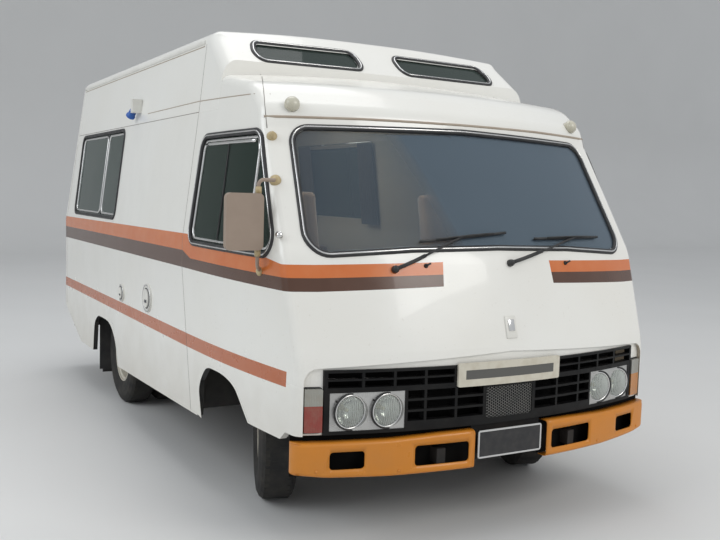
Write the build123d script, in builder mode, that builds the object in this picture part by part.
# A flat-fronted, high-roofed motorhome on a light truck chassis.
# X is to the right in the front view, Y runs from the front to the rear and Z is up.
# The origin is on the ground, on the centre plane, under the front axle. Millimetres.

from build123d import *
import math
import os

# Overall sizes
WHEELBASE = 2240
HALF_WIDTH = 1039
BELT_Z = 1234
ROOF_EDGE_HALF_WIDTH = 906
ROOF_EDGE_Z = 2308
ROOF_CROWN_Z = 2350
REAR_Y = 3636
REAR_LEAN = 117
REAR_TOP_Y = REAR_Y - REAR_LEAN
WALL = 30
CLEARANCE = 0.3

# The front is turned about an upright axis far behind it, so it bows forward in plan.
FRONT_AXIS_Y = 2259
NOSE_Y = -861
CAB_TAPER_Y = 300
CAB_TAPER_RADIUS = 8000
CAB_OVERLAP = 60
CORNER_RADIUS = 50
REAR_CORNER_RADIUS = 70
ROOF_EDGE_RADIUS = 60
BELT_RADIUS = 400
BELOW_BODY_Z = -150

# Front outline on the centre plane, from below the nose to the cab roof: y, z, rounding
FRONT_OUTLINE = [
    (NOSE_Y, 790, 420),
    (-735, 1239, 300),
    (-419, 1783, 60),
    (-389, 1876, 110),
    (-260, 1990, 260),
]
CAB_ROOF_SLOPE = 102 / 504

# High roof: the raked front of the cap and the line where it stands on the cab roof
CAP_FOOT_Y = 300
CAP_FOOT_Z = 2140
CAP_TOP_Y = 574
CAP_TOP_Z = 2352
CAP_TOP_ROUND = 160
CAP_CORNER_RADIUS = 80

# Lower edge of the body, front to rear: y, z
FRONT_ARCH_Y = (-299, 309)
FRONT_ARCH_TOP_Z = 640
REAR_ARCH_Y = (WHEELBASE - 353, WHEELBASE + 353)
REAR_ARCH_TOP_Z = 589
NOSE_BOTTOM_Z = 508
FRONT_SILL_Z = 471
MIDDLE_SILL_Z = 365
REAR_SILL_Z = 313
DEPARTURE_Y = REAR_ARCH_Y[1] + 397
DEPARTURE_Z = 555

# Where the panels of the body meet
PILLAR_FOOT_Y = -559
PILLAR_TOP_Y = -202
FRONT_PANEL_TOP_Z = 1165
HEADER_Z = 1835
CAB_SEAM_Y = 580
CAB_SEAM_SILL_Y = 413
ROOF_SEAM_Z = 1895
REAR_PANEL_DEPTH = 106
REAR_SEAM_Y = REAR_Y - REAR_PANEL_DEPTH

# Windows: outlines of the openings
SCREEN_BOTTOM = (880, 1248)
SCREEN_SHOULDER = (440, 1276)
SCREEN_SILL_Z = 1284
SCREEN_TOP = (826, 1772)
SCREEN_TOP_Z = 1790
SCREEN_ROUND = 75
SCREEN_THICKNESS = 8
SCREEN_SETBACK = 6
PANE = 5
PANE_SETBACK = 8
CAB_WINDOW = [(-500, 1238), (468, 1238), (444, 1752), (-226, 1752)]
CAB_WINDOW_ROUND = 62
SALOON_WINDOW_Y = (2030, 3250)
SALOON_WINDOW_Z = (1297, 1865)
SALOON_WINDOW_ROUND = 45
CAP_WINDOW = [(742, 2164), (138, 2170), (138, 2258), (708, 2250)]
CAP_WINDOW_ROUND = 28
REAR_WINDOW_HALF = 470
REAR_WINDOW_Z = (1330, 1790)

# Entry door, on the left of the vehicle
DOOR_Y = (700, 1310)
DOOR_Z = (412, 1846)
DOOR_GAP = 7
DOOR_LOCK_GAP = 20
DOOR_WINDOW_Y = (800, 1190)
DOOR_WINDOW_Z = (1290, 1720)
HINGE_OUT = 14
HINGE_HEIGHTS = (520, 1120)
HINGE_PIN_R = 6
HINGE_KNUCKLE_R = 11
HINGE_KNUCKLE_H = 60

# Grille and lamps
SURROUND_HALF = 950
SURROUND_TOP_Z = 826
SURROUND_SHOULDER_Z = 784
SURROUND_ROUND = 60
SURROUND_DEPTH = 20
GRILLE_HALF = 866
GRILLE_Z = (509, 778)
LAMP_PANEL_X = (522, 842)
LAMP_PANEL_Z = (523, 683)
LAMP_X = (597, 753)
LAMP_Z = 602
LAMP_R = 71
CORNER_LAMP_X = (872, 944)
CORNER_LAMP_Z = (522, 703)
NAME_PLATE_HALF = 283
NAME_PLATE_Z = (684, 787)
MESH_HALF = 128
MESH_Z = (536, 674)
MESH_POCKET = 12

# Bumpers and plates
BUMPER_PROUD = 24
BUMPER_DEPTH = 62
BUMPER_SKIN = 5
BUMPER_SLOTS = [(361, 258, 87), (780, 145, 74)]
BUMPER_SLOT_Z = 409
BUMPER_SHAPE = [
    (203, 329),
    (600, 329),
    (870, 338),
    (978, 352),
    (978, 484),
    (600, 484),
    (375, 494),
    (203, 496),
]
PLATE_WIDTH = 355
PLATE_HEIGHT = 124
PLATE_Z = 425
PLATE_Y = -866

# Running gear
TYRE_R = 325
TYRE_WIDTH = 185
RIM_R = 178
FRONT_WHEEL_X = 744
KINGPIN_X = 640
REAR_WHEEL_X = (618, 843)
STEER_REST_DEG = -20
RAIL_X = 365
RAIL_WIDTH = 60
RAIL_Z = (TYRE_R + 105, TYRE_R + 210)
RAIL_Y = (-760, REAR_Y - 156)
FLOOR_THICKNESS = 25
FLOOR_Z = RAIL_Z[1] + FLOOR_THICKNESS
WHEELHOUSE_TOP_Z = 2 * TYRE_R + 70
WHEELHOUSE_SKIN = 12
FRONT_WELL_Y = (-440, 425)
FRONT_WELL_X = 452
REAR_WELL_Y = (WHEELBASE - 380, WHEELBASE + 380)
REAR_WELL_X = 470

# Cab
DRIVER_X = -560
STEERING_CENTRE = (DRIVER_X, -330, 1130)
STEERING_TILT_DEG = 26
STEERING_WHEEL_R = 205

os.makedirs("parts", exist_ok=True)


def save(part, name):
    part.label = name
    export_step(part, f"parts/{name}.step")


def yz_prism(points, x_low, x_high, rounding=0, inset=0):
    """A prism along X from an outline of (y, z) points."""
    with BuildPart() as prism:
        with BuildSketch(Plane.YZ.offset(x_low)):
            with BuildLine():
                if rounding:
                    FilletPolyline(*points, radius=rounding, close=True)
                else:
                    Polyline(*points, close=True)
            make_face()
            if inset:
                offset(amount=-inset)
        extrude(amount=x_high - x_low)
    return prism.part


def xz_prism(points, y_low, y_high, rounding=0, inset=0):
    """A prism along Y from an outline of (x, z) points."""
    with BuildPart() as prism:
        with BuildSketch(Plane.XZ.offset(-y_high)):
            with BuildLine():
                if rounding:
                    FilletPolyline(*points, radius=rounding, close=True)
                else:
                    Polyline(*points, close=True)
            make_face()
            if inset:
                offset(amount=-inset)
        extrude(amount=y_high - y_low)
    return prism.part


def block(x, y, z):
    """A plain block between two values on each axis."""
    with BuildPart() as solid:
        with Locations(((x[0] + x[1]) / 2, (y[0] + y[1]) / 2, (z[0] + z[1]) / 2)):
            Box(x[1] - x[0], y[1] - y[0], z[1] - z[0])
    return solid.part


def mirrored(part):
    """The same piece on the other side of the centre plane."""
    return mirror(part, about=Plane.YZ)


def rectangle_outline(low, high):
    return [(low[0], low[1]), (high[0], low[1]), (high[0], high[1]), (low[0], high[1])]


def arc_slab(outer, thickness, z_low, z_high):
    """A slab that follows the bow of the front: outer is how far its face is from the turning axis."""
    with BuildPart() as slab:
        with BuildSketch(Plane.XY.offset(z_low)):
            with Locations((0, FRONT_AXIS_Y)):
                Circle(outer)
                Circle(outer - thickness, mode=Mode.SUBTRACT)
        extrude(amount=z_high - z_low)
    return slab.part


NOSE_R = FRONT_AXIS_Y - NOSE_Y


# The body as a closed form, at any inset from its outer surface
def cross_section(inset):
    """The section of the body across the vehicle, on the plane where the cab begins to taper."""
    with BuildSketch(Plane.XZ.offset(-CAB_TAPER_Y)) as section:
        with BuildLine():
            Polyline(
                (-ROOF_EDGE_HALF_WIDTH, ROOF_EDGE_Z),
                (-HALF_WIDTH, BELT_Z),
                (-HALF_WIDTH, BELOW_BODY_Z),
                (HALF_WIDTH, BELOW_BODY_Z),
                (HALF_WIDTH, BELT_Z),
                (ROOF_EDGE_HALF_WIDTH, ROOF_EDGE_Z),
            )
            ThreePointArc(
                (ROOF_EDGE_HALF_WIDTH, ROOF_EDGE_Z),
                (0, ROOF_CROWN_Z),
                (-ROOF_EDGE_HALF_WIDTH, ROOF_EDGE_Z),
            )
        make_face()
        belt_corners = section.vertices().filter_by_position(Axis.Y, BELT_Z - 1, BELT_Z + 1)
        fillet(belt_corners, BELT_RADIUS)
        roof_corners = section.vertices().filter_by_position(Axis.Y, ROOF_EDGE_Z - 1, ROOF_EDGE_Z + 1)
        fillet(roof_corners, ROOF_EDGE_RADIUS)
        if inset:
            offset(amount=-inset, kind=Kind.INTERSECTION)
    return section.sketch


def front_profile(inset):
    """The outline of the front on the centre plane, closed at the turning axis."""
    last_y, last_z, _ = FRONT_OUTLINE[-1]
    axis_z = last_z + (FRONT_AXIS_Y - last_y) * CAB_ROOF_SLOPE
    points = [(NOSE_Y, BELOW_BODY_Z)]
    points += [(y, z) for y, z, _ in FRONT_OUTLINE]
    points += [(FRONT_AXIS_Y, axis_z)]
    radii = [rounding for _, _, rounding in FRONT_OUTLINE]
    with BuildSketch(Plane.YZ) as profile:
        with BuildLine():
            FilletPolyline(*points, radius=radii)
            Polyline(points[-1], (FRONT_AXIS_Y, BELOW_BODY_Z), points[0])
        make_face()
        if inset:
            offset(amount=-inset, kind=Kind.INTERSECTION)
    return profile.sketch


def turned_front(inset):
    """The whole front as one turned body, wider than the vehicle."""
    with BuildPart() as turned:
        add(front_profile(inset))
        revolve(axis=Axis((0, FRONT_AXIS_Y, 0), (0, 0, 1)), revolution_arc=360)
    return turned.part


def cab_form(inset):
    """The tapering cab: the turned front, between two sides that are swung about far axes."""
    front = turned_front(inset)
    section = cross_section(inset)
    swing_x = CAB_TAPER_RADIUS - HALF_WIDTH
    with BuildPart() as form:
        add(section)
        revolve(axis=Axis((-swing_x, CAB_TAPER_Y, 0), (0, 0, -1)), revolution_arc=12)
    right_side = form.part
    left_side = mirrored(right_side)
    with BuildPart() as joint:
        add(section)
        extrude(amount=CAB_OVERLAP, dir=(0, 1, 0))
    with BuildPart() as cab:
        add(front)
        add(right_side, mode=Mode.INTERSECT)
        add(left_side, mode=Mode.INTERSECT)
        corner_edges = [
            edge
            for edge in cab.edges()
            if abs(edge.center().X) > 700
            and edge.bounding_box().size.Z > 0.5
            and edge.bounding_box().size.Y > 0.01
            and edge.center().Z > BELOW_BODY_Z + 20
        ] + [
            edge
            for edge in cab.edges()
            if abs(edge.center().X) > 700
            and edge.bounding_box().size.Y <= 0.01
            and edge.center().Y < CAB_TAPER_Y - 100
        ]
        fillet(corner_edges, CORNER_RADIUS - inset / 2)
    with BuildPart() as neck:
        add(joint.part)
        add(front, mode=Mode.INTERSECT)
    return cab.part, neck.part


def saloon_form(inset):
    """The straight body behind the cab, with the raked cap of the high roof."""
    outline = [
        (CAB_TAPER_Y, BELOW_BODY_Z),
        (CAP_FOOT_Y, CAP_FOOT_Z),
        (CAP_TOP_Y, CAP_TOP_Z),
        (REAR_TOP_Y - 5, CAP_TOP_Z),
        (REAR_Y, BELT_Z),
        (REAR_Y, BELOW_BODY_Z),
    ]
    with BuildPart() as form:
        add(cross_section(inset))
        extrude(amount=REAR_Y - CAB_TAPER_Y, dir=(0, 1, 0))
        with BuildSketch(Plane.YZ.offset(-HALF_WIDTH)) as side:
            with BuildLine():
                Polyline(*outline, close=True)
            make_face()
            cap_corner = side.vertices().filter_by_position(Axis.X, CAP_TOP_Y - 1, CAP_TOP_Y + 1)
            fillet(cap_corner, CAP_TOP_ROUND)
            rear_top = side.vertices().filter_by_position(Axis.X, REAR_TOP_Y - 6, REAR_TOP_Y - 4)
            fillet(rear_top, 90)
            rear_belt = side.vertices().filter_by_position(Axis.X, REAR_Y - 1, REAR_Y + 1)
            fillet(rear_belt.filter_by_position(Axis.Y, BELT_Z - 1, BELT_Z + 1), BELT_RADIUS)
            if inset:
                offset(amount=-inset, kind=Kind.INTERSECTION)
        extrude(amount=2 * HALF_WIDTH, mode=Mode.INTERSECT)
        # Only the outside of the rear corners is rounded; inside they are square.
        if inset == 0:
            rear_corners = [
                edge
                for edge in form.edges()
                if edge.center().Y > REAR_TOP_Y - 60
                and abs(edge.center().X) > ROOF_EDGE_HALF_WIDTH - 60
                and edge.bounding_box().size.Z > 40
            ]
            fillet(rear_corners, REAR_CORNER_RADIUS)
        # The front corners of the cap, where its raked face meets the sides and the roof edge
        cap_corners = [
            edge
            for edge in form.edges()
            if CAP_FOOT_Y - 5 < edge.center().Y < CAP_TOP_Y + 60
            and edge.center().Z > CAP_FOOT_Z
            and abs(edge.center().X) > 600
            and edge.bounding_box().size.Y > 3
            and edge.bounding_box().size.Z > 3
        ]
        fillet(cap_corners, CAP_CORNER_RADIUS - inset * 4 / 3)
    return form.part


def body_form(inset):
    cab, neck = cab_form(inset)
    saloon = saloon_form(inset)
    with BuildPart() as form:
        add(saloon)
        add(neck)
        add(cab)
    return form.part



outer_form = body_form(0)
inner_form = body_form(WALL)
room_form = body_form(WALL + CLEARANCE)

# Below this line, from front to rear, the sides of the body end.
BEHIND_Y = REAR_Y + 564
SILL_LINE = [
    (-1300, NOSE_BOTTOM_Z),
    (-620, NOSE_BOTTOM_Z),
    (-580, FRONT_SILL_Z),
    (FRONT_ARCH_Y[0], FRONT_SILL_Z),
    (-164, 602),
    (-45, FRONT_ARCH_TOP_Z),
    (190, FRONT_ARCH_TOP_Z),
    (292, 545),
    (FRONT_ARCH_Y[1], MIDDLE_SILL_Z),
    (REAR_ARCH_Y[0], 321),
    (REAR_ARCH_Y[0] + 62, 481),
    (REAR_ARCH_Y[0] + 150, REAR_ARCH_TOP_Z),
    (REAR_ARCH_Y[1] - 150, REAR_ARCH_TOP_Z),
    (REAR_ARCH_Y[1] - 41, 530),
    (REAR_ARCH_Y[1], REAR_SILL_Z),
    (DEPARTURE_Y, REAR_SILL_Z),
    (REAR_Y, DEPARTURE_Z),
    (BEHIND_Y, 800),
]
below_sill = yz_prism(SILL_LINE + [(BEHIND_Y, -400), (-1300, -400)], -1300, 1300)

with BuildPart() as body_shell:
    add(outer_form)
    add(inner_form, mode=Mode.SUBTRACT)
    add(below_sill, mode=Mode.SUBTRACT)

# The regions that the panels fill, seen from the side
SIDE = 1500
FRONT_EDGE = -1200
PANEL_BOTTOM = -300
PANEL_TOP = 2600
REAR_SEAM_TOP_Y = REAR_SEAM_Y - (REAR_Y - REAR_TOP_Y) * (PANEL_TOP - BELT_Z) / (ROOF_EDGE_Z - BELT_Z)
REAR_SEAM_ROOF_Y = REAR_SEAM_Y - (REAR_Y - REAR_TOP_Y) * (ROOF_SEAM_Z - BELT_Z) / (ROOF_EDGE_Z - BELT_Z)
front_region = yz_prism(
    [
        (FRONT_EDGE, PANEL_BOTTOM),
        (PILLAR_FOOT_Y, PANEL_BOTTOM),
        (PILLAR_FOOT_Y, FRONT_PANEL_TOP_Z),
        (FRONT_EDGE, FRONT_PANEL_TOP_Z),
    ],
    -SIDE,
    SIDE,
)
surround_region = yz_prism(
    [
        (FRONT_EDGE, FRONT_PANEL_TOP_Z),
        (PILLAR_FOOT_Y, FRONT_PANEL_TOP_Z),
        (PILLAR_TOP_Y, HEADER_Z),
        (FRONT_EDGE, HEADER_Z),
    ],
    -SIDE,
    SIDE,
)
cab_roof_region = yz_prism(
    [
        (FRONT_EDGE, HEADER_Z),
        (PILLAR_TOP_Y, HEADER_Z),
        (PILLAR_TOP_Y, ROOF_SEAM_Z),
        (CAP_FOOT_Y, ROOF_SEAM_Z),
        (CAP_FOOT_Y, PANEL_TOP),
        (FRONT_EDGE, PANEL_TOP),
    ],
    -SIDE,
    SIDE,
)
cab_side_region = yz_prism(
    [
        (PILLAR_FOOT_Y, PANEL_BOTTOM),
        (CAB_SEAM_SILL_Y, PANEL_BOTTOM),
        (CAB_SEAM_SILL_Y, MIDDLE_SILL_Z),
        (CAB_SEAM_Y, 1090),
        (CAB_SEAM_Y, ROOF_SEAM_Z),
        (PILLAR_TOP_Y, ROOF_SEAM_Z),
        (PILLAR_TOP_Y, HEADER_Z),
        (PILLAR_FOOT_Y, FRONT_PANEL_TOP_Z),
    ],
    -SIDE,
    SIDE,
)
cap_region = block((-SIDE, SIDE), (CAP_FOOT_Y, CAB_SEAM_Y), (ROOF_SEAM_Z, PANEL_TOP))
saloon_side_region = yz_prism(
    [
        (CAB_SEAM_SILL_Y, PANEL_BOTTOM),
        (REAR_SEAM_Y, PANEL_BOTTOM),
        (REAR_SEAM_Y, BELT_Z),
        (REAR_SEAM_ROOF_Y, ROOF_SEAM_Z),
        (CAB_SEAM_Y, ROOF_SEAM_Z),
        (CAB_SEAM_Y, 1090),
        (CAB_SEAM_SILL_Y, MIDDLE_SILL_Z),
    ],
    -SIDE,
    SIDE,
)
high_roof_region = yz_prism(
    [
        (CAB_SEAM_Y, ROOF_SEAM_Z),
        (REAR_SEAM_ROOF_Y, ROOF_SEAM_Z),
        (REAR_SEAM_TOP_Y, PANEL_TOP),
        (CAB_SEAM_Y, PANEL_TOP),
    ],
    -SIDE,
    SIDE,
)
rear_region = yz_prism(
    [
        (REAR_SEAM_Y, PANEL_BOTTOM),
        (REAR_Y + 400, PANEL_BOTTOM),
        (REAR_Y + 400, PANEL_TOP),
        (REAR_SEAM_TOP_Y, PANEL_TOP),
        (REAR_SEAM_Y, BELT_Z),
    ],
    -SIDE,
    SIDE,
)
left_half = block((0, SIDE), (-1400, BEHIND_Y), (-400, PANEL_TOP))
right_half = block((-SIDE, 0), (-1400, BEHIND_Y), (-400, PANEL_TOP))

# Windows: one list of outlines cuts the openings, and the same outlines make the panes
cab_opening = yz_prism(CAB_WINDOW, -SIDE, SIDE, CAB_WINDOW_ROUND)
saloon_opening = yz_prism(
    [
        (SALOON_WINDOW_Y[0], SALOON_WINDOW_Z[0]),
        (SALOON_WINDOW_Y[1], SALOON_WINDOW_Z[0]),
        (SALOON_WINDOW_Y[1], SALOON_WINDOW_Z[1]),
        (SALOON_WINDOW_Y[0], SALOON_WINDOW_Z[1]),
    ],
    -SIDE,
    SIDE,
    SALOON_WINDOW_ROUND,
)
SCREEN_OUTLINE = [
    (-SCREEN_BOTTOM[0], SCREEN_BOTTOM[1]),
    (-SCREEN_SHOULDER[0], SCREEN_SHOULDER[1]),
    (0, SCREEN_SILL_Z),
    SCREEN_SHOULDER,
    SCREEN_BOTTOM,
    SCREEN_TOP,
    (0, SCREEN_TOP_Z),
    (-SCREEN_TOP[0], SCREEN_TOP[1]),
]
screen_opening = xz_prism(SCREEN_OUTLINE, -1000, 0, SCREEN_ROUND)
CAP_WINDOW_OTHER = [(-x, z) for x, z in CAP_WINDOW]
cap_openings = [
    xz_prism(CAP_WINDOW, 150, 700, CAP_WINDOW_ROUND),
    xz_prism(CAP_WINDOW_OTHER, 150, 700, CAP_WINDOW_ROUND),
]
REAR_WINDOW = rectangle_outline((-REAR_WINDOW_HALF, REAR_WINDOW_Z[0]), (REAR_WINDOW_HALF, REAR_WINDOW_Z[1]))
rear_opening = xz_prism(REAR_WINDOW, REAR_SEAM_Y - 100, REAR_Y + 100, SALOON_WINDOW_ROUND)
DOOR_OUTLINE = rectangle_outline((DOOR_Y[0], DOOR_Z[0]), (DOOR_Y[1], DOOR_Z[1]))
door_opening = yz_prism(DOOR_OUTLINE, 500, SIDE, 40)

# Outer panels
surround_outline = [
    (-SURROUND_HALF, 300), (SURROUND_HALF, 300), (SURROUND_HALF, SURROUND_SHOULDER_Z),
    (0, SURROUND_TOP_Z), (-SURROUND_HALF, SURROUND_SHOULDER_Z),
]
with BuildPart() as grille_recess:
    add(arc_slab(NOSE_R + 60, 60 + SURROUND_DEPTH, 400, SURROUND_TOP_Z))
    add(xz_prism(surround_outline, -1000, 0, SURROUND_ROUND), mode=Mode.INTERSECT)
grille_opening = xz_prism(rectangle_outline((-GRILLE_HALF, 300), (GRILLE_HALF, GRILLE_Z[1])), -1000, 0)

with BuildPart() as front_panel:
    add(body_shell.part)
    add(front_region, mode=Mode.INTERSECT)
    add(grille_recess.part, mode=Mode.SUBTRACT)
    add(grille_opening, mode=Mode.SUBTRACT)
save(front_panel.part, "front_panel")

with BuildPart() as windscreen_surround:
    add(body_shell.part)
    add(surround_region, mode=Mode.INTERSECT)
    add(screen_opening, mode=Mode.SUBTRACT)
save(windscreen_surround.part, "windscreen_surround")

with BuildPart() as cab_roof:
    add(body_shell.part)
    add(cab_roof_region, mode=Mode.INTERSECT)
save(cab_roof.part, "cab_roof")

with BuildPart() as cab_sides:
    add(body_shell.part)
    add(cab_side_region, mode=Mode.INTERSECT)
    add(cab_opening, mode=Mode.SUBTRACT)
with BuildPart() as cab_side_left:
    add(cab_sides.part)
    add(left_half, mode=Mode.INTERSECT)
save(cab_side_left.part, "cab_side_left")
with BuildPart() as cab_side_right:
    add(cab_sides.part)
    add(right_half, mode=Mode.INTERSECT)
save(cab_side_right.part, "cab_side_right")

with BuildPart() as roof_cap:
    add(body_shell.part)
    add(cap_region, mode=Mode.INTERSECT)
    for opening in cap_openings:
        add(opening, mode=Mode.SUBTRACT)
save(roof_cap.part, "roof_cap")

with BuildPart() as saloon_sides:
    add(body_shell.part)
    add(saloon_side_region, mode=Mode.INTERSECT)
    add(saloon_opening, mode=Mode.SUBTRACT)
with BuildPart() as side_panel_right:
    add(saloon_sides.part)
    add(right_half, mode=Mode.INTERSECT)
save(side_panel_right.part, "side_panel_right")
with BuildPart() as side_panel_left:
    add(saloon_sides.part)
    add(left_half, mode=Mode.INTERSECT)
    add(door_opening, mode=Mode.SUBTRACT)
save(side_panel_left.part, "side_panel_left")

with BuildPart() as high_roof:
    add(body_shell.part)
    add(high_roof_region, mode=Mode.INTERSECT)
save(high_roof.part, "high_roof")

with BuildPart() as rear_wall:
    add(body_shell.part)
    add(rear_region, mode=Mode.INTERSECT)
    add(rear_opening, mode=Mode.SUBTRACT)
save(rear_wall.part, "rear_wall")

# Glass
pane_outside = body_form(PANE_SETBACK)
pane_inside = body_form(PANE_SETBACK + PANE)
with BuildPart() as pane_skin:
    add(pane_outside)
    add(pane_inside, mode=Mode.SUBTRACT)

screen_outside = turned_front(SCREEN_SETBACK)
screen_inside = turned_front(SCREEN_SETBACK + SCREEN_THICKNESS)
with BuildPart() as windscreen:
    add(screen_outside)
    add(xz_prism(SCREEN_OUTLINE, -1000, 0, SCREEN_ROUND, CLEARANCE), mode=Mode.INTERSECT)
    add(screen_inside, mode=Mode.SUBTRACT)
save(windscreen.part, "windscreen")

cab_pane_outline = yz_prism(CAB_WINDOW, -SIDE, SIDE, CAB_WINDOW_ROUND, CLEARANCE)
with BuildPart() as cab_windows:
    add(pane_skin.part)
    add(cab_pane_outline, mode=Mode.INTERSECT)
save(cab_windows.part, "cab_windows")

SALOON_WINDOW = rectangle_outline(
    (SALOON_WINDOW_Y[0], SALOON_WINDOW_Z[0]),
    (SALOON_WINDOW_Y[1], SALOON_WINDOW_Z[1]),
)
saloon_pane_outline = yz_prism(SALOON_WINDOW, -SIDE, SIDE, SALOON_WINDOW_ROUND, CLEARANCE)
with BuildPart() as saloon_windows:
    add(pane_skin.part)
    add(saloon_pane_outline, mode=Mode.INTERSECT)

with BuildPart() as cap_panes:
    add(xz_prism(CAP_WINDOW, 150, 700, CAP_WINDOW_ROUND, CLEARANCE))
    add(xz_prism(CAP_WINDOW_OTHER, 150, 700, CAP_WINDOW_ROUND, CLEARANCE))
with BuildPart() as roof_windows:
    add(pane_skin.part)
    add(cap_panes.part, mode=Mode.INTERSECT)

rear_pane = xz_prism(REAR_WINDOW, REAR_SEAM_Y - 100, REAR_Y + 100, SALOON_WINDOW_ROUND, CLEARANCE)
with BuildPart() as rear_window:
    add(pane_skin.part)
    add(rear_pane, mode=Mode.INTERSECT)
with BuildPart() as saloon_glass:
    add(saloon_windows.part)
    add(roof_windows.part)
    add(rear_window.part)
save(saloon_glass.part, "saloon_glass")

# Entry door: the wall it closes is cut out with a gap all round, wider at the lock edge,
# because the leaning upper part swings a little rearwards as the door opens.
DOOR_LEAF = rectangle_outline(
    (DOOR_Y[0] + DOOR_GAP, DOOR_Z[0] + DOOR_GAP),
    (DOOR_Y[1] - DOOR_LOCK_GAP, DOOR_Z[1] - DOOR_GAP),
)
DOOR_WINDOW = rectangle_outline((DOOR_WINDOW_Y[0], DOOR_WINDOW_Z[0]), (DOOR_WINDOW_Y[1], DOOR_WINDOW_Z[1]))
HINGE_X = HALF_WIDTH + HINGE_OUT
HINGE_Y = DOOR_Y[0]
HINGE_LEAF = 5
HINGE_LEAF_LENGTH = 58
HANDLE_Z = 1000
with BuildPart() as entry_door:
    add(body_shell.part)
    add(yz_prism(DOOR_LEAF, 500, SIDE, 34), mode=Mode.INTERSECT)
    add(yz_prism(DOOR_WINDOW, 500, SIDE, 40), mode=Mode.SUBTRACT)
    for hinge_z in HINGE_HEIGHTS:
        with Locations((HALF_WIDTH + HINGE_LEAF / 2, HINGE_Y + HINGE_LEAF_LENGTH / 2 + 8, hinge_z)):
            Box(HINGE_LEAF, HINGE_LEAF_LENGTH, HINGE_KNUCKLE_H)
        with Locations((HALF_WIDTH + HINGE_OUT / 2, HINGE_Y + 9, hinge_z)):
            Box(HINGE_OUT, 12, HINGE_KNUCKLE_H)
        with Locations((HINGE_X, HINGE_Y, hinge_z)):
            Cylinder(HINGE_KNUCKLE_R, HINGE_KNUCKLE_H)
            Cylinder(HINGE_PIN_R + CLEARANCE, HINGE_KNUCKLE_H, mode=Mode.SUBTRACT)
    with Locations((HALF_WIDTH + 16, DOOR_Y[1] - 75, HANDLE_Z)):
        Box(8, 24, 150)
    for handle_z in (HANDLE_Z - 65, HANDLE_Z + 65):
        with Locations((HALF_WIDTH + 8, DOOR_Y[1] - 75, handle_z)):
            Box(16, 24, 20)
save(entry_door.part, "entry_door")

with BuildPart() as entry_door_window:
    add(pane_skin.part)
    add(yz_prism(DOOR_WINDOW, 500, SIDE, 40, CLEARANCE), mode=Mode.INTERSECT)
save(entry_door_window.part, "entry_door_window")

LUG_GAP = 6
LUG_H = 12
with BuildPart() as door_hinges:
    for hinge_z in HINGE_HEIGHTS:
        reach = HINGE_KNUCKLE_H / 2 + LUG_GAP + LUG_H
        with Locations((HALF_WIDTH + CLEARANCE + HINGE_LEAF / 2, HINGE_Y - 42, hinge_z)):
            Box(HINGE_LEAF, 40, 2 * reach)
        with Locations((HINGE_X, HINGE_Y, hinge_z)):
            Cylinder(HINGE_PIN_R, 2 * reach)
        for side in (-1, 1):
            lug_z = hinge_z + side * (reach - LUG_H / 2)
            with Locations((HALF_WIDTH + CLEARANCE + 12, HINGE_Y - 27, lug_z)):
                Box(24, 70, LUG_H)
save(door_hinges.part, "door_hinges")

# Grille: a curved black plate with columns and slats, a mesh in the middle and room for the lamps
GRILLE_FACE = NOSE_R - 8
GRILLE_DEPTH = 34
GRILLE_COLUMNS = [(146, 277), (289, 424), (436, 510)]
GRILLE_TOP_COLUMNS = [(295, 424), (436, 564), (576, 699), (711, 850)]
GRILLE_ROWS = [(552, 590), (600, 637), (647, 682)]
GRILLE_TOP_ROWS = [(704, 732), (740, 766)]
lamp_rectangle = rectangle_outline((LAMP_PANEL_X[0], LAMP_PANEL_Z[0]), (LAMP_PANEL_X[1], LAMP_PANEL_Z[1]))
with BuildPart() as grille_holes:
    with BuildSketch(Plane.XZ):
        for low_z, high_z in GRILLE_ROWS:
            for low_x, high_x in GRILLE_COLUMNS:
                for side in (-1, 1):
                    with Locations((side * (low_x + high_x) / 2, (low_z + high_z) / 2)):
                        Rectangle(high_x - low_x, high_z - low_z)
        for low_z, high_z in GRILLE_TOP_ROWS:
            for low_x, high_x in GRILLE_TOP_COLUMNS:
                for side in (-1, 1):
                    with Locations((side * (low_x + high_x) / 2, (low_z + high_z) / 2)):
                        Rectangle(high_x - low_x, high_z - low_z)
        for side in (-1, 1):
            with Locations((side * sum(LAMP_PANEL_X) / 2, sum(LAMP_PANEL_Z) / 2)):
                Rectangle(LAMP_PANEL_X[1] - LAMP_PANEL_X[0], LAMP_PANEL_Z[1] - LAMP_PANEL_Z[0])
    extrude(amount=1200)
grille_face = rectangle_outline(
    (-GRILLE_HALF + CLEARANCE, GRILLE_Z[0]),
    (GRILLE_HALF - CLEARANCE, GRILLE_Z[1] - CLEARANCE),
)
with BuildPart() as grille:
    add(arc_slab(GRILLE_FACE, GRILLE_DEPTH, 400, 900))
    add(xz_prism(grille_face, -1000, 0), mode=Mode.INTERSECT)
    add(grille_holes.part, mode=Mode.SUBTRACT)
    mesh_outline = rectangle_outline((-MESH_HALF, MESH_Z[0]), (MESH_HALF, MESH_Z[1]))
    pocket = xz_prism(mesh_outline, -1000, 0, 12) & arc_slab(GRILLE_FACE + 10, 10 + MESH_POCKET, 400, 900)
    add(pocket, mode=Mode.SUBTRACT)
save(grille.part, "grille")

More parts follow.
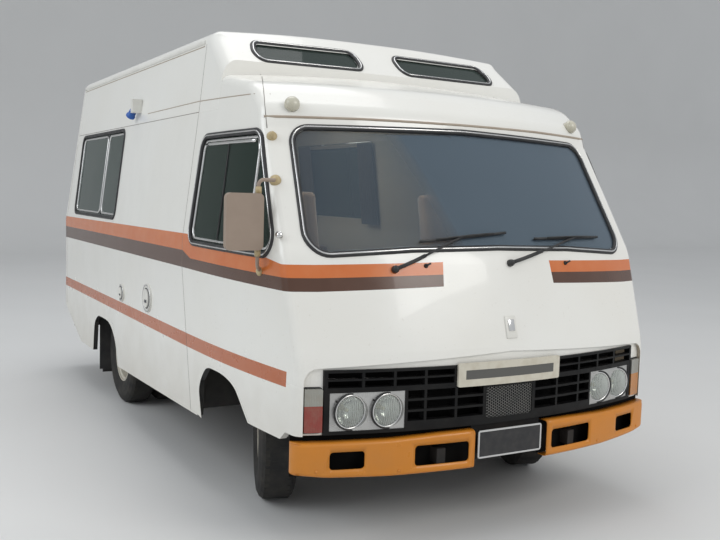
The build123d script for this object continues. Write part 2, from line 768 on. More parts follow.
# Lamp panels, round lamps and corner lamps
LAMP_PANEL_FACE = NOSE_R - 12
LAMP_PANEL_THICKNESS = 16
with BuildPart() as lamp_panels:
    add(arc_slab(LAMP_PANEL_FACE, LAMP_PANEL_THICKNESS, 400, 900))
    add(xz_prism(lamp_rectangle, -1000, 0, 0, CLEARANCE), mode=Mode.INTERSECT)
lamp_panel_right = mirrored(lamp_panels.part)
with BuildPart() as lamp_panels:
    add(arc_slab(LAMP_PANEL_FACE, LAMP_PANEL_THICKNESS, 400, 900))
    add(xz_prism(lamp_rectangle, -1000, 0, 0, CLEARANCE), mode=Mode.INTERSECT)
    add(lamp_panel_right)
    for lamp_x in LAMP_X:
        for side in (-1, 1):
            with Locations(Plane((side * lamp_x, -700, LAMP_Z), z_dir=(0, 1, 0))):
                Cylinder(LAMP_R + CLEARANCE, 600, mode=Mode.SUBTRACT)
save(lamp_panels.part, "lamp_panels")


def front_y(radius, x):
    """Where a surface at this distance from the turning axis lies, at one x."""
    return FRONT_AXIS_Y - math.sqrt(radius * radius - x * x)


LAMP_DEPTH = 58
LAMP_DOME = 14
LENS_R = (LAMP_R**2 + LAMP_DOME**2) / (2 * LAMP_DOME)
LENS_ANGLE = math.degrees(math.asin(LAMP_R / LENS_R))
with BuildPart() as headlamps:
    for lamp_x in LAMP_X:
        rim_y = front_y(LAMP_PANEL_FACE, lamp_x) + 4
        for side in (-1, 1):
            with BuildSketch(Plane(origin=(side * lamp_x, rim_y, LAMP_Z), x_dir=(1, 0, 0), z_dir=(0, 0, 1))):
                with BuildLine():
                    Polyline(
                        (0, -LAMP_DOME), (0, LAMP_DEPTH), (LAMP_R * 0.45, LAMP_DEPTH), (LAMP_R, 6), (LAMP_R, 0)
                    )
                    CenterArc((0, LENS_R - LAMP_DOME), LENS_R, 270, LENS_ANGLE)
                make_face()
            revolve(axis=Axis((side * lamp_x, 0, LAMP_Z), (0, 1, 0)), revolution_arc=360)
save(headlamps.part, "headlamps")

corner_low = (CORNER_LAMP_X[0], CORNER_LAMP_Z[0])
corner_rectangle = rectangle_outline(corner_low, (CORNER_LAMP_X[1], CORNER_LAMP_Z[1]))
corner_slab = arc_slab(NOSE_R - 3, SURROUND_DEPTH - 3 - CLEARANCE, 400, 900)
with BuildPart() as corner_lamp:
    add(corner_slab)
    add(xz_prism(corner_rectangle, -1000, 0, 6), mode=Mode.INTERSECT)
corner_lamp_right = mirrored(corner_lamp.part)
with BuildPart() as corner_lamps:
    add(corner_lamp.part)
    add(corner_lamp_right)

name_rectangle = rectangle_outline((-NAME_PLATE_HALF, NAME_PLATE_Z[0]), (NAME_PLATE_HALF, NAME_PLATE_Z[1]))
with BuildPart() as name_plate:
    add(arc_slab(GRILLE_FACE + CLEARANCE + 10, 10, 400, 900))
    add(xz_prism(name_rectangle, -1000, 0, 8), mode=Mode.INTERSECT)

# Front bumper: two pressed steel halves, open at the back, with a slot for a lamp at each end
BUMPER_FACE = NOSE_R + BUMPER_PROUD
with BuildPart() as bumper_left:
    add(arc_slab(BUMPER_FACE, BUMPER_DEPTH, 200, 700))
    add(xz_prism(BUMPER_SHAPE, -1200, 0), mode=Mode.INTERSECT)
    outer_edge = bumper_left.edges().filter_by(Axis.Z).sort_by(Axis.Y)[0:3].sort_by(Axis.X)[-1]
    fillet(outer_edge, 34)
    hollow = arc_slab(BUMPER_FACE - BUMPER_SKIN, BUMPER_DEPTH, 200, 700)
    add(hollow & xz_prism(BUMPER_SHAPE, -1200, 0, 0, BUMPER_SKIN), mode=Mode.SUBTRACT)
    for slot_x, slot_width, slot_height in BUMPER_SLOTS:
        slot = rectangle_outline(
            (slot_x - slot_width / 2, BUMPER_SLOT_Z - slot_height / 2),
            (slot_x + slot_width / 2, BUMPER_SLOT_Z + slot_height / 2),
        )
        add(xz_prism(slot, -1100, -740, 14), mode=Mode.SUBTRACT)
bumper_right = mirrored(bumper_left.part)
with BuildPart() as front_bumper:
    add(bumper_left.part)
    add(bumper_right)
save(front_bumper.part, "front_bumper")


# Chassis: two channel rails tied by crossmembers, with horns that carry the front bumper
CHANNEL_SKIN = 6
CROSSMEMBER_Y = (-700, WHEELBASE - 680, WHEELBASE - 220, 2900, RAIL_Y[1] - 40)
HORN_X = (345, 385)
RAIL_INNER = RAIL_X - RAIL_WIDTH / 2
RAIL_OUTER = RAIL_X + RAIL_WIDTH / 2
WEB_INNER = RAIL_OUTER - CHANNEL_SKIN
horns = block(HORN_X, (-900, RAIL_Y[0] + 60), (365, RAIL_Z[0]))
horns_in_reach = horns & arc_slab(BUMPER_FACE - BUMPER_SKIN - CLEARANCE, 2600, 300, 500)
with BuildPart() as left_rail:
    add(block((RAIL_INNER, RAIL_OUTER), RAIL_Y, RAIL_Z))
    add(
        block(
            (RAIL_INNER - 1, WEB_INNER),
            (RAIL_Y[0] - 1, RAIL_Y[1] + 1),
            (RAIL_Z[0] + CHANNEL_SKIN, RAIL_Z[1] - CHANNEL_SKIN),
        ),
        mode=Mode.SUBTRACT,
    )
    add(horns_in_reach)
right_rail = mirrored(left_rail.part)
with BuildPart() as chassis_frame:
    add(left_rail.part)
    add(right_rail)
    for member_y in CROSSMEMBER_Y:
        with Locations((0, member_y, sum(RAIL_Z) / 2)):
            Box(2 * WEB_INNER + 2, 60, 70)
save(chassis_frame.part, "chassis_frame")

# Engine, gearbox and propeller shaft
ENGINE_Y = (-120, 590)
ENGINE_Z = (RAIL_Z[0] - 25, RAIL_Z[0] + 450)
ENGINE_HALF = 185
with BuildPart() as engine:
    add(block((-ENGINE_HALF, ENGINE_HALF), ENGINE_Y, ENGINE_Z))
    fillet(engine.edges().filter_by(Axis.Y), 30)
    for side in (-1, 1):
        arm_inner = ENGINE_HALF - 2
        arm_outer = WEB_INNER - CLEARANCE
        with Locations((side * (arm_inner + arm_outer) / 2, 240, RAIL_Z[0] + 55)):
            Box(arm_outer - arm_inner, 70, 50)

AXLE_Z = TYRE_R
DIFF_R = 130
SHAFT_RADIUS = 32
SHAFT_START = Vector(0, 960, RAIL_Z[0] + 40)
SHAFT_END = Vector(0, WHEELBASE - DIFF_R - 20, AXLE_Z + 12)
with BuildPart() as gearbox:
    add(block((-105, 105), (ENGINE_Y[1] + CLEARANCE, 900), (ENGINE_Z[0], ENGINE_Z[0] + 125)))
    fillet(gearbox.edges().filter_by(Axis.Y), 28)
    with BuildSketch(Plane((0, 900, SHAFT_START.Z), z_dir=(0, 1, 0))):
        Circle(60)
    extrude(amount=60)
shaft_run = SHAFT_END - SHAFT_START
shaft_gap = SHAFT_RADIUS * abs(shaft_run.Z) / shaft_run.length + 2 * CLEARANCE
with BuildPart() as propeller_shaft:
    with BuildSketch(Plane(SHAFT_START + shaft_run.normalized() * shaft_gap, z_dir=shaft_run)):
        Circle(SHAFT_RADIUS)
    extrude(amount=shaft_run.length - 2 * shaft_gap)
with BuildPart() as drivetrain:
    add(engine.part)
    add(gearbox.part)
    add(propeller_shaft.part)
save(drivetrain.part, "drivetrain")

# Front axle beam with an upright boss at each end, and the steering knuckles that turn in them
BOSS_R = 26
BOSS_Z = (AXLE_Z - 33, AXLE_Z + 33)
PIN_R = 13
SPRING_SEAT_Z = AXLE_Z - 21
SPINDLE_R = 20
front_beam = [
    (-600, AXLE_Z + 20), (-560, SPRING_SEAT_Z), (560, SPRING_SEAT_Z), (600, AXLE_Z + 20),
    (KINGPIN_X, AXLE_Z + 20), (KINGPIN_X, AXLE_Z - 25), (612, AXLE_Z - 25), (575, AXLE_Z - 75),
    (-575, AXLE_Z - 75), (-612, AXLE_Z - 25), (-KINGPIN_X, AXLE_Z - 25), (-KINGPIN_X, AXLE_Z + 20),
]
with BuildPart() as front_axle:
    add(xz_prism(front_beam, -28, 28))
    for side in (-1, 1):
        with Locations((side * KINGPIN_X, 0, sum(BOSS_Z) / 2)):
            Cylinder(BOSS_R, BOSS_Z[1] - BOSS_Z[0])
            Cylinder(PIN_R + CLEARANCE, BOSS_Z[1] - BOSS_Z[0], mode=Mode.SUBTRACT)
save(front_axle.part, "front_axle")

EAR_Z = (AXLE_Z - 61, AXLE_Z + 61)
EAR_H = 22
PLATE_X = (KINGPIN_X + 34, KINGPIN_X + 54)
SPINDLE_END_X = 800


def steered(part, side):
    """Turn a piece of the front wheel about its own kingpin, as the parked vehicle has it."""
    pivot = (side * KINGPIN_X, 0, 0)
    return part.rotate(Axis(pivot, (0, 0, 1)), STEER_REST_DEG)


knuckle_names = {1: "left_knuckle", -1: "right_knuckle"}
for side, knuckle_name in knuckle_names.items():
    with BuildPart() as knuckle:
        with Locations((side * KINGPIN_X, 0, sum(EAR_Z) / 2)):
            Cylinder(PIN_R, EAR_Z[1] - EAR_Z[0])
        for ear_z in (EAR_Z[0] + EAR_H / 2, EAR_Z[1] - EAR_H / 2):
            with Locations((side * KINGPIN_X, 0, ear_z)):
                Cylinder(24, EAR_H)
            with Locations((side * (KINGPIN_X + 27), 0, ear_z)):
                Box(54, 48, EAR_H)
        with Locations((side * sum(PLATE_X) / 2, 0, sum(EAR_Z) / 2)):
            Box(PLATE_X[1] - PLATE_X[0], 80, EAR_Z[1] - EAR_Z[0])
        with BuildSketch(Plane((side * PLATE_X[0], 0, AXLE_Z), z_dir=(side, 0, 0))):
            Circle(SPINDLE_R)
        extrude(amount=SPINDLE_END_X - PLATE_X[0])
        with Locations((side * (KINGPIN_X + 14), 65, EAR_Z[0] + EAR_H / 2)):
            Box(22, 130, EAR_H)
    save(steered(knuckle.part, side), knuckle_name)

# Wheels: outline of each rim as distance along the axle from the wheel's middle, and radius
HUB_OUT = 46
FRONT_RIM = [
    (-44, SPINDLE_R + CLEARANCE), (HUB_OUT, SPINDLE_R + CLEARANCE), (HUB_OUT, 46), (30, 60), (24, 60),
    (24, 84), (34, 100), (34, 124), (20, 142), (20, 153), (62, 158), (66, 168), (75, 169), (75, RIM_R),
    (69, RIM_R), (66, 174), (58, 165), (14, 160), (-50, 160), (-60, 166), (-68, 174), (-71, RIM_R),
    (-75, RIM_R), (-75, 169), (-66, 168), (-56, 160), (-48, 154), (12, 154), (12, 140), (26, 120),
    (26, 102), (16, 86), (16, 66), (-10, 62), (-16, 132), (-44, 132), (-44, 126), (-22, 124), (-18, 60),
    (-44, 56),
]
TYRE_HALF = TYRE_WIDTH / 2
TYRE_SECTION = [
    (-56, 166.5), (56, 166.5), (64, 176), (77, 182.5), (88, 215), (TYRE_HALF, 248), (88, 286), (76, 311),
    (62, TYRE_R - 3), (40, TYRE_R), (-40, TYRE_R), (-62, TYRE_R - 3), (-76, 311), (-88, 286),
    (-TYRE_HALF, 248), (-88, 215), (-77, 182.5), (-64, 176),
]


def turned_about_axle(outline, middle_x, side, wheel_y):
    """A body turned about an axle that runs along X, from (offset outwards, radius) points."""
    section_plane = Plane(origin=(side * middle_x, wheel_y, AXLE_Z), x_dir=(side, 0, 0), z_dir=(0, -side, 0))
    with BuildPart() as turned:
        with BuildSketch(section_plane):
            with BuildLine():
                Polyline(*outline, close=True)
            make_face()
        revolve(axis=Axis((0, wheel_y, AXLE_Z), (1, 0, 0)), revolution_arc=360)
    return turned.part


side_names = {1: "left", -1: "right"}
for side, side_name in side_names.items():
    rim = turned_about_axle(FRONT_RIM, FRONT_WHEEL_X, side, 0)
    save(steered(rim, side), f"front_wheel_{side_name}")
    tyre = turned_about_axle(TYRE_SECTION, FRONT_WHEEL_X, side, 0)
    save(steered(tyre, side), f"front_tyre_{side_name}")

# Rear: a banjo axle with twin wheels, the two rims bolted face to face on one hub
STUB_R = 30
HUB_R = 78
REAR_MIDDLE_X = sum(REAR_WHEEL_X) / 2
REAR_HALF = (REAR_WHEEL_X[1] - REAR_WHEEL_X[0]) / 2
OUTER_BARREL = [
    (REAR_HALF + 62, 158), (REAR_HALF + 66, 168), (REAR_HALF + 75, 169), (REAR_HALF + 75, RIM_R),
    (REAR_HALF + 69, RIM_R), (REAR_HALF + 66, 174), (REAR_HALF + 58, 165), (REAR_HALF + 14, 160),
    (REAR_HALF - 50, 160), (REAR_HALF - 60, 166), (REAR_HALF - 68, 174), (REAR_HALF - 71, RIM_R),
    (REAR_HALF - 75, RIM_R), (REAR_HALF - 75, 169), (REAR_HALF - 66, 168), (REAR_HALF - 56, 160),
    (REAR_HALF - 60, 150),
]
rear_disc = [(10, 118), (9, HUB_R), (50, HUB_R - 14), (50, STUB_R + CLEARANCE)]
outer_half = OUTER_BARREL + rear_disc
REAR_RIM = [
    (0, STUB_R + CLEARANCE),
    (60, STUB_R + CLEARANCE),
    (60, 56),
    (52, 66),
    (10, 72),
    (10, 112),
    (52, 146),
]
REAR_RIM += [(REAR_HALF - 52, 154), (REAR_HALF + 58, 154)] + OUTER_BARREL[:-1]
REAR_RIM += [(46, 152), (2, 118)]
REAR_RIM += [(-x, r) for x, r in reversed(REAR_RIM[3:-1])]
REAR_RIM += [(-60, 66), (-60, STUB_R + CLEARANCE)]
for side, side_name in side_names.items():
    rims = turned_about_axle(REAR_RIM, REAR_MIDDLE_X, side, WHEELBASE)
    save(rims, f"rear_wheels_{side_name}")
    inner_tyre = turned_about_axle(TYRE_SECTION, REAR_WHEEL_X[0], side, WHEELBASE)
    outer_tyre = turned_about_axle(TYRE_SECTION, REAR_WHEEL_X[1], side, WHEELBASE)
    with BuildPart() as rear_tyres:
        add(inner_tyre)
        add(outer_tyre)
    save(rear_tyres.part, f"rear_tyres_{side_name}")

with BuildPart() as rear_axle:
    with BuildSketch(Plane(origin=(0, WHEELBASE, AXLE_Z), x_dir=(1, 0, 0), z_dir=(0, -1, 0))):
        with BuildLine():
            Polyline(
                (-820, 0), (-820, STUB_R), (-640, STUB_R), (-640, 46), (-170, 46), (-90, 118), (-50, DIFF_R),
                (50, DIFF_R), (90, 118), (170, 46), (640, 46), (640, STUB_R), (820, STUB_R), (820, 0),
                close=True,
            )
        make_face()
    revolve(axis=Axis((0, WHEELBASE, AXLE_Z), (1, 0, 0)), revolution_arc=360)
    with BuildSketch(Plane((0, WHEELBASE, AXLE_Z + 12), z_dir=(0, -1, 0))):
        Circle(55)
    extrude(amount=DIFF_R + 20)
save(rear_axle.part, "rear_axle")

# Leaf springs: half length, middle height and end height of each pair
SPRING_WIDTH = 60
SPRINGS = [
    (0, 470, SPRING_SEAT_Z + CLEARANCE, RAIL_Z[0] - 58),
    (WHEELBASE, 560, AXLE_Z + 46 + CLEARANCE, RAIL_Z[0] - 38),
]
SPRING_DEPTH = 30
EYE_DEPTH = 14
with BuildPart() as leaf_springs:
    for spring_y, half_length, middle_z, end_z in SPRINGS:
        for side in (-1, 1):
            with BuildSketch(Plane.YZ.offset(side * RAIL_X - SPRING_WIDTH / 2)):
                with BuildLine():
                    lower = ThreePointArc(
                        (spring_y - half_length, end_z),
                        (spring_y, middle_z),
                        (spring_y + half_length, end_z),
                    )
                    right_end = Line(lower @ 1, (spring_y + half_length, end_z + EYE_DEPTH))
                    upper = ThreePointArc(
                        right_end @ 1,
                        (spring_y, middle_z + SPRING_DEPTH),
                        (spring_y - half_length, end_z + EYE_DEPTH),
                    )
                    Line(upper @ 1, lower @ 0)
                make_face()
                for end in (-1, 1):
                    top = RAIL_Z[0]
                    with Locations((spring_y + end * (half_length - 16), (end_z + 4 + top) / 2)):
                        Rectangle(34, top - end_z - 4)
            extrude(amount=SPRING_WIDTH)
save(leaf_springs.part, "leaf_springs")

# Fuel tank and exhaust
with BuildPart() as fuel_tank:
    add(block((-830, -440), (1010, 1480), (RAIL_Z[0] - 105, RAIL_Z[0] + 85)))
    fillet(fuel_tank.edges().filter_by(Axis.Y), 40)
    strap_outer = 444
    strap_inner = RAIL_OUTER + CLEARANCE
    for strap_y in (1100, 1390):
        with Locations((-(strap_outer + strap_inner) / 2, strap_y, RAIL_Z[0] + 40)):
            Box(strap_outer - strap_inner, 40, 40)
save(fuel_tank.part, "fuel_tank")

PIPE_R = 22
PIPE_X = 250
PIPE_Z = RAIL_Z[0] - 38
pipe_points = [
    (ENGINE_HALF + CLEARANCE, 380, RAIL_Z[0] + 40), (PIPE_X, 380, RAIL_Z[0] + 40), (PIPE_X, 620, PIPE_Z),
    (PIPE_X, 1600, PIPE_Z), (940, 1600, PIPE_Z - 22),
]
with BuildPart() as exhaust:
    with BuildLine() as pipe_line:
        FilletPolyline(*pipe_points, radius=40)
    with BuildSketch(Plane(pipe_points[0], z_dir=(1, 0, 0))):
        Circle(PIPE_R)
    sweep()
    with BuildSketch(Plane((PIPE_X, 850, PIPE_Z), z_dir=(0, 1, 0))):
        Circle(68)
    extrude(amount=520)
save(exhaust.part, "exhaust")


# Floor on the rails, with boxes over the wheels and a well for the entry step
FLOOR_FRONT_Y = -640
STEP_X = 700
STEP_Z = 418
ENGINE_HOLE = ((-272, 272), (-235, 625))
WELLS = [
    ((FRONT_WELL_X, SIDE), FRONT_WELL_Y),
    ((-SIDE, -FRONT_WELL_X), FRONT_WELL_Y),
    ((REAR_WELL_X, SIDE), REAR_WELL_Y),
    ((-SIDE, -REAR_WELL_X), REAR_WELL_Y),
]
step_y = (DOOR_Y[0] - 5, DOOR_Y[1] + 5)
with BuildPart() as floor:
    add(room_form)
    floor_slab = block((-SIDE, SIDE), (FLOOR_FRONT_Y, BEHIND_Y), (FLOOR_Z - FLOOR_THICKNESS, FLOOR_Z))
    add(floor_slab, mode=Mode.INTERSECT)
    for well_x, well_y in WELLS:
        add(block(well_x, well_y, (0, 1000)), mode=Mode.SUBTRACT)
    add(block((STEP_X, SIDE), step_y, (0, 1000)), mode=Mode.SUBTRACT)
    add(block(*ENGINE_HOLE, (0, 1000)), mode=Mode.SUBTRACT)
save(floor.part, "floor")

skin = WHEELHOUSE_SKIN
with BuildPart() as wheelhouses:
    for well_x, well_y in WELLS:
        outward = 1 if well_x[1] == SIDE else -1
        inner_x = well_x[0] if outward > 0 else well_x[1]
        shell = room_form & block(well_x, well_y, (FLOOR_Z - FLOOR_THICKNESS, WHEELHOUSE_TOP_Z))
        hollow_x = (inner_x + skin, SIDE) if outward > 0 else (-SIDE, inner_x - skin)
        hollow = block(hollow_x, (well_y[0] + skin, well_y[1] - skin), (0, WHEELHOUSE_TOP_Z - skin))
        add(shell - hollow)

with BuildPart() as entry_step:
    add(room_form)
    add(block((STEP_X, SIDE), step_y, (STEP_Z, FLOOR_Z)), mode=Mode.INTERSECT)
    hollow_y = (step_y[0] + skin, step_y[1] - skin)
    add(block((STEP_X + skin, SIDE), hollow_y, (STEP_Z + skin, 1000)), mode=Mode.SUBTRACT)
with BuildPart() as wheelhouses_and_step:
    add(wheelhouses.part)
    add(entry_step.part)
save(wheelhouses_and_step.part, "wheelhouses_and_step")

# Engine cover between the seats
COVER_HALF = 296
COVER_Y = (-262, 655)
COVER_TOP_Z = ENGINE_Z[1] + 35
with BuildPart() as engine_cover:
    add(block((-COVER_HALF, COVER_HALF), COVER_Y, (FLOOR_Z, COVER_TOP_Z)))
    fillet(engine_cover.edges().group_by(Axis.Z)[-1], 40)
    fillet(engine_cover.edges().filter_by(Axis.Z), 30)
    hollow_x = (-COVER_HALF + skin, COVER_HALF - skin)
    hollow_y = (COVER_Y[0] + skin, COVER_Y[1] - skin)
    add(block(hollow_x, hollow_y, (FLOOR_Z - 1, COVER_TOP_Z - skin)), mode=Mode.SUBTRACT)
save(engine_cover.part, "engine_cover")

# Cab seats: a pedestal with a back plate carries each cushion and backrest
SEAT_HALF = 225
SEAT_CUSHION = 110
SEAT_BASE_Z = WHEELHOUSE_TOP_Z + 130
SEAT_FRONT_Y = -120
SEAT_REAR_Y = 330
BACK_TOP_Z = 1500
BACK_RAKE = 0.2
BACK_DEPTH = 95
BACK_FOOT_Z = SEAT_BASE_Z + SEAT_CUSHION + 12
back_lean = (BACK_TOP_Z - SEAT_BASE_Z) * BACK_RAKE
with BuildPart() as seat_frames:
    for seat_x in (DRIVER_X, -DRIVER_X):
        pedestal_x = (seat_x - 130, seat_x + 100) if seat_x < 0 else (seat_x - 100, seat_x + 130)
        add(block(pedestal_x, (-60, 350), (WHEELHOUSE_TOP_Z, SEAT_BASE_Z)))
        frame_outline = [
            (SEAT_FRONT_Y + 20, SEAT_BASE_Z - 14),
            (SEAT_REAR_Y + 52, SEAT_BASE_Z - 14),
            (SEAT_REAR_Y + 52 + back_lean * 0.94, BACK_TOP_Z - 40),
            (SEAT_REAR_Y + 40 + back_lean * 0.94, BACK_TOP_Z - 40),
            (SEAT_REAR_Y + 40, SEAT_BASE_Z),
            (SEAT_FRONT_Y + 20, SEAT_BASE_Z),
        ]
        add(yz_prism(frame_outline, seat_x - 190, seat_x + 190))
save(seat_frames.part, "seat_frames")

seat_outline = [
    (SEAT_FRONT_Y, SEAT_BASE_Z + CLEARANCE), (SEAT_REAR_Y - 40, SEAT_BASE_Z + CLEARANCE),
    (SEAT_REAR_Y - 40, SEAT_BASE_Z + SEAT_CUSHION - 10), (SEAT_FRONT_Y, SEAT_BASE_Z + SEAT_CUSHION),
]
with BuildPart() as seat_cushions:
    for seat_x in (DRIVER_X, -DRIVER_X):
        add(yz_prism(seat_outline, seat_x - SEAT_HALF, seat_x + SEAT_HALF, 30))

foot_y = SEAT_REAR_Y + 40 - CLEARANCE - BACK_DEPTH + (BACK_FOOT_Z - SEAT_BASE_Z) * BACK_RAKE
top_y = SEAT_REAR_Y + 40 - CLEARANCE - BACK_DEPTH + (BACK_TOP_Z - SEAT_BASE_Z) * BACK_RAKE
back_outline = [
    (foot_y, BACK_FOOT_Z),
    (foot_y + BACK_DEPTH, BACK_FOOT_Z),
    (top_y + BACK_DEPTH, BACK_TOP_Z),
    (top_y + 20, BACK_TOP_Z),
]
with BuildPart() as seat_backs:
    for seat_x in (DRIVER_X, -DRIVER_X):
        add(yz_prism(back_outline, seat_x - SEAT_HALF + 10, seat_x + SEAT_HALF - 10, 28))

# Dashboard across the cab under the windscreen
DASH_SECTION = [
    (-1000, 905), (-560, 905), (-500, 960), (-500, 1090), (-530, 1125), (-1000, 1160),
]
with BuildPart() as dashboard:
    add(room_form)
    add(yz_prism(DASH_SECTION, -SIDE, SIDE), mode=Mode.INTERSECT)
save(dashboard.part, "dashboard")

# Steering wheel on its column; the axis leans forward towards its foot
tilt = math.radians(STEERING_TILT_DEG)
column_up = Vector(0, math.sin(tilt), math.cos(tilt))
steering_hub = Vector(*STEERING_CENTRE)
COLUMN_R = 24
SHAFT_R = 9
RIM_TUBE_R = 12
column_length = (steering_hub.Z - 50 - FLOOR_Z) / math.cos(tilt)
column_top = steering_hub - column_up * 50
with BuildPart() as steering_column:
    with BuildSketch(Plane(column_top, x_dir=(1, 0, 0), z_dir=column_up)):
        Circle(COLUMN_R)
    extrude(amount=-(column_length + 60))
    with BuildSketch(Plane(steering_hub, x_dir=(1, 0, 0), z_dir=column_up)):
        Circle(SHAFT_R)
    extrude(amount=-60)
    add(block((-SIDE, SIDE), (-1500, 1000), (0, FLOOR_Z + CLEARANCE)), mode=Mode.SUBTRACT)
save(steering_column.part, "steering_column")

wheel_plane = Plane(steering_hub, x_dir=(1, 0, 0), z_dir=column_up)
with BuildPart() as steering_wheel:
    with BuildSketch(Plane(steering_hub, x_dir=(1, 0, 0), z_dir=Vector(0, -math.cos(tilt), math.sin(tilt)))):
        with Locations((STEERING_WHEEL_R, 0)):
            Circle(RIM_TUBE_R)
    revolve(axis=Axis(steering_hub, column_up), revolution_arc=360)
    with BuildSketch(wheel_plane.offset(-34)):
        Circle(34)
    extrude(amount=46)
    for spoke_angle in (0, 180, 270):
        with BuildSketch(wheel_plane.offset(-5)):
            with PolarLocations(STEERING_WHEEL_R / 2, 1, spoke_angle):
                Rectangle(STEERING_WHEEL_R - 4, 26)
        extrude(amount=8)
    with BuildSketch(wheel_plane):
        Circle(SHAFT_R + CLEARANCE)
    extrude(amount=-60, mode=Mode.SUBTRACT)
save(steering_wheel.part, "steering_wheel")

# Furniture behind the cab: a cupboard along the right wall and a bench across the rear
BENCH_Y = REAR_WELL_Y[1] + 140
BENCH_Z = 940
with BuildPart() as side_cupboard:
    add(room_form)
    add(block((-SIDE, -560), (700, REAR_WELL_Y[0] - 70), (FLOOR_Z, 1240)), mode=Mode.INTERSECT)
with BuildPart() as rear_bench:
    add(room_form)
    add(block((-SIDE, SIDE), (BENCH_Y, REAR_Y), (FLOOR_Z, BENCH_Z)), mode=Mode.INTERSECT)
with BuildPart() as furniture:
    add(side_cupboard.part)
    add(rear_bench.part)
save(furniture.part, "furniture")
with BuildPart() as bench_cushion:
    add(block((-960, 960), (BENCH_Y + 10, REAR_Y - WALL - 40), (BENCH_Z + CLEARANCE, BENCH_Z + 110)))
    fillet(bench_cushion.edges().filter_by(Axis.Z), 40)
with BuildPart() as cushions:
    add(seat_cushions.part)
    add(seat_backs.part)
    add(bench_cushion.part)
save(cushions.part, "cushions")

# Rear bumper, tail lamps, rear plate and mudflaps. The bumper brackets have tow eyes, bored across.
TOW_EYE_R = 12
TOW_EYE_Y = RAIL_Y[1] - 80
TOW_EYE_Z = RAIL_Z[0] - 30
with BuildPart() as rear_bumper:
    add(block((-960, 960), (REAR_Y - 61, REAR_Y + 9), (340, 405)))
    fillet(rear_bumper.edges().filter_by(Axis.Z), 20)
    for side in (-1, 1):
        bracket_x = sorted((side * HORN_X[0], side * HORN_X[1]))
        add(block(bracket_x, (RAIL_Y[1] - 120, REAR_Y - 36), (370, RAIL_Z[0] - CLEARANCE)))
        with Locations(Plane((sum(bracket_x) / 2, TOW_EYE_Y, TOW_EYE_Z), z_dir=(1, 0, 0))):
            Cylinder(TOW_EYE_R, HORN_X[1] - HORN_X[0] + 2, mode=Mode.SUBTRACT)
save(rear_bumper.part, "rear_bumper")

with BuildPart() as tail_lamps:
    for side in (-1, 1):
        with Locations((side * 895, REAR_Y + CLEARANCE + 11, 720)):
            Box(96, 22, 210)

with BuildPart() as number_plates:
    with Locations((0, REAR_Y + CLEARANCE + 2, 720), (0, PLATE_Y, PLATE_Z)):
        Box(PLATE_WIDTH, 4, PLATE_HEIGHT)
    fillet(number_plates.edges().filter_by(Axis.Y), 12)
with BuildPart() as plates:
    add(name_plate.part)
    add(number_plates.part)
save(plates.part, "plates")

VALANCE_FACE = NOSE_R - 25
with BuildPart() as front_valance:
    add(arc_slab(VALANCE_FACE, 24, 352, GRILLE_Z[0] - CLEARANCE))
    add(block((-192, 192), (-1000, 0), (0, 1000)), mode=Mode.INTERSECT)
    pad_y = (PLATE_Y + 2 + CLEARANCE, front_y(VALANCE_FACE - 12, 0))
    add(block((-140, 140), pad_y, (PLATE_Z - 40, PLATE_Z + 40)))
    for side in (-1, 1):
        arm_x = sorted((side * 150, side * 185))
        add(block(arm_x, (-825, -730 - CLEARANCE), (455, 495)))
save(front_valance.part, "front_valance")

FLAP_Y = REAR_WELL_Y[1] + 40
with BuildPart() as mudflaps:
    for side in (-1, 1):
        flap_x = sorted((side * 560, side * 955))
        add(block(flap_x, (FLAP_Y, FLAP_Y + 6), (130, FLOOR_Z - FLOOR_THICKNESS)))
save(mudflaps.part, "mudflaps")

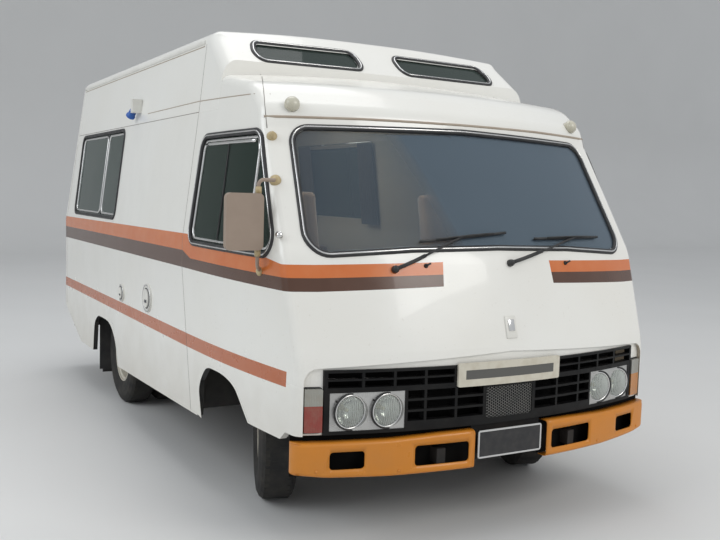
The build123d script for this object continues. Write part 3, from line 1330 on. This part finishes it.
# Fittings on the right side: two fillers and a power inlet high on the wall
FILLERS = [(1788, 820, 55), (1206, 853, 82)]
INLET = (1715, 2005)
WALL_LEAN = (HALF_WIDTH - ROOF_EDGE_HALF_WIDTH) / (ROOF_EDGE_Z - BELT_Z)
inlet_wall_x = HALF_WIDTH - (INLET[1] - BELT_Z) * WALL_LEAN
with BuildPart() as side_fittings:
    for filler_y, filler_z, filler_r in FILLERS:
        with BuildSketch(Plane((-HALF_WIDTH - CLEARANCE, filler_y, filler_z), z_dir=(-1, 0, 0))):
            Circle(filler_r)
        extrude(amount=8)
        with BuildSketch(Plane((-HALF_WIDTH - CLEARANCE - 8, filler_y, filler_z), z_dir=(-1, 0, 0))):
            Circle(filler_r * 0.66)
        extrude(amount=8)
    with Locations((-inlet_wall_x - 30, INLET[0], INLET[1])):
        Box(60, 50, 84)
    add(outer_form.moved(Location((-CLEARANCE, 0, 0))), mode=Mode.SUBTRACT)
save(side_fittings.part, "side_fittings")

# Round marker lamps on the corners of the cab roof
MARKER = (817, 1883)
MARKER_R = 31
marker_radius = FRONT_AXIS_Y + 386
with BuildPart() as marker_lamps:
    for side in (-1, 1):
        base = Vector(side * MARKER[0], front_y(marker_radius, MARKER[0]), MARKER[1])
        outward = Vector(side * MARKER[0], base.Y - FRONT_AXIS_Y, 900).normalized()
        with BuildSketch(Plane(base - outward * 20, z_dir=outward)):
            Circle(MARKER_R)
        extrude(amount=42)
    add(outer_form.scale(1.0003), mode=Mode.SUBTRACT)
with BuildPart() as small_lamps:
    add(corner_lamps.part)
    add(tail_lamps.part)
    add(marker_lamps.part)
save(small_lamps.part, "small_lamps")

# Mirror on the right door pillar: a flat head on an upright tube held by two arms
MIRROR_TUBE = [
    (-HALF_WIDTH + 73, -424, 1545), (-HALF_WIDTH - 1, -424, 1545),
    (-HALF_WIDTH - 1, -424, 1180), (-HALF_WIDTH + 31, -380, 1155),
]
MIRROR_HEAD_X = (-HALF_WIDTH - 157, -HALF_WIDTH + 9)
MIRROR_HEAD_Z = (1250, 1488)
with BuildPart() as mirror_arm:
    with BuildLine():
        FilletPolyline(*MIRROR_TUBE, radius=24)
    with BuildSketch(Plane(MIRROR_TUBE[0], z_dir=(-1, 0, 0))):
        Circle(8)
    sweep()
    add(outer_form.moved(Location((-CLEARANCE, 0, 0))), mode=Mode.SUBTRACT)
with BuildPart() as mirror_head:
    add(block(MIRROR_HEAD_X, (-424 - 8 - CLEARANCE - 30, -424 - 8 - CLEARANCE), MIRROR_HEAD_Z))
    fillet(mirror_head.edges().filter_by(Axis.Y), 22)
with BuildPart() as mirror:
    add(mirror_arm.part)
    add(mirror_head.part)
save(mirror.part, "mirror")
